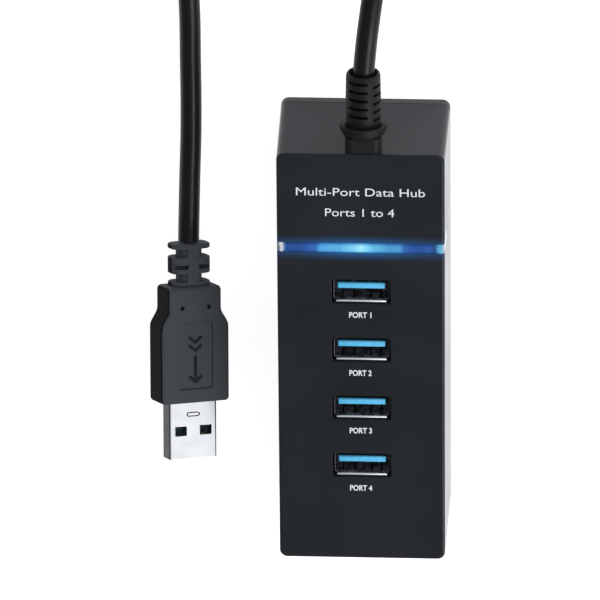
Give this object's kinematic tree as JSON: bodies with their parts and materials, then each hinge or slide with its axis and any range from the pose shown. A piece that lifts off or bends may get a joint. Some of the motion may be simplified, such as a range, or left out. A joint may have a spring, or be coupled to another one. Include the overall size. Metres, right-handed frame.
{
  "type": "usb hub",
  "caption": "Box-shaped black USB hub with a row of type A ports and a light bar in its top face, on a short lead with a type A plug.",
  "frame": {"origin": "middle of the base cover's flat underside, leaving the lead, its strain relief and its plug aside", "axes": "+Z out of the ports, +Y towards the end that the lead leaves, X across the width"},
  "size_m": [0.0702, 0.2325, 0.0302],
  "materials": {
    "housing": "black moulded ABS, semi-gloss",
    "light_bar": "clear acrylic light guide, lit blue",
    "board": "green solder mask on glass-fibre board",
    "chip": "black epoxy package",
    "can": "plain aluminium or nickel can",
    "led": "clear-lensed diode package",
    "boot": "black flexible PVC, fine matt",
    "cord": "black PVC jacket, satin",
    "port_metal": "bright nickel-plated steel",
    "tongue": "blue moulded insulator",
    "screw": "zinc-plated steel",
    "wire_red": "red PVC",
    "wire_black": "black PVC",
    "wire_white": "white PVC",
    "wire_green": "green PVC",
    "wire_blue": "blue PVC over a shielded pair",
    "wire_violet": "violet PVC over a shielded pair"
  },
  "bodies": {
    "root": {"base_cover": "housing", "bus_capacitor_1": "can", "bus_capacitor_2": "can", "bus_capacitor_3": "can", "bus_capacitor_4": "can", "circuit_board": "board", "clock_crystal": "can", "cover_screw_1": "screw", "cover_screw_2": "screw", "cover_screw_3": "screw", "cover_screw_4": "screw", "hub_controller": "chip", "indicator_led": "led", "lead_cord": "cord", "light_bar": "light_bar", "plug_insulator": "tongue", "plug_overmould": "boot", "plug_shell": "port_metal", "port_1_insulator": "tongue", "port_1_shell": "port_metal", "port_2_insulator": "tongue", "port_2_shell": "port_metal", "port_3_insulator": "tongue", "port_3_shell": "port_metal", "port_4_insulator": "tongue", "port_4_shell": "port_metal", "strain_relief": "boot", "top_shell": "housing", "voltage_regulator": "chip", "wire_data_minus": "wire_white", "wire_data_plus": "wire_green", "wire_ground": "wire_black", "wire_pair_receive": "wire_blue", "wire_pair_transmit": "wire_violet", "wire_power": "wire_red"}
  },
  "joints": []
}
